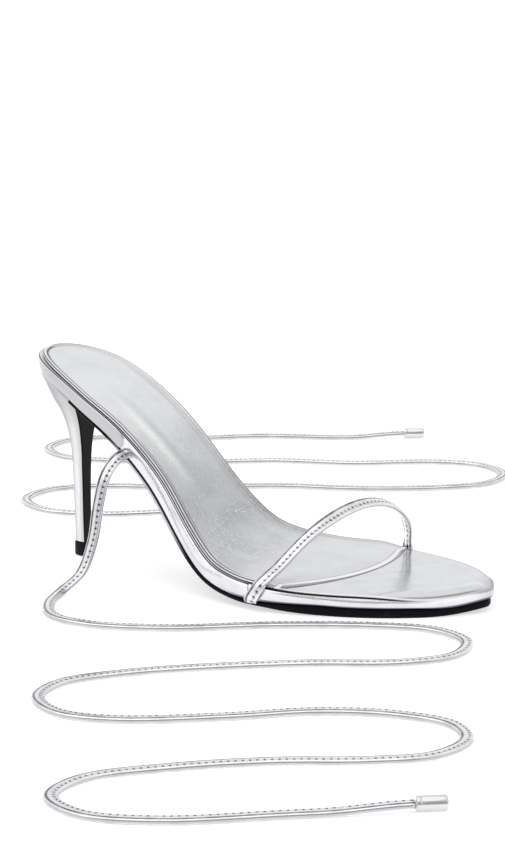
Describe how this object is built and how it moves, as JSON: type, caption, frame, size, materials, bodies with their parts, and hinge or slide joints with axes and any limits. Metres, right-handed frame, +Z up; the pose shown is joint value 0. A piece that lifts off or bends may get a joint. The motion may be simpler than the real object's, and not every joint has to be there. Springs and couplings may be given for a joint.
{
  "type": "lace-up stiletto sandal",
  "caption": "Right-foot silver stiletto sandal: curved covered footbed, thin toe strap, slender heel and long flat ankle ties lying loose on the floor.",
  "frame": {"origin": "on the floor under the middle of the shoe's box, measured without the ankle ties", "axes": "+X to the toe, +Y to the inner side of the foot, +Z up"},
  "size_m": [0.4242, 0.5669, 0.0897],
  "materials": {
    "black_sole": "satin black",
    "silver_cover": "metallic foil",
    "silver_sock": "soft metallic foil",
    "silver_heel": "metallic foil",
    "black_breast": "satin black",
    "black_tip": "matt black",
    "silver_strap": "metallic foil",
    "nickel": "polished"
  },
  "bodies": {
    "root": {"outsole": "black_sole", "insole_board": "silver_cover", "sock": "silver_sock", "heel": "silver_heel", "heel_breast": "black_breast", "heel_tip": "black_tip", "toe_strap": "silver_strap", "tie_outer": "silver_strap", "tie_inner": "silver_strap", "aglet_outer": "nickel", "aglet_inner": "nickel"}
  },
  "joints": []
}
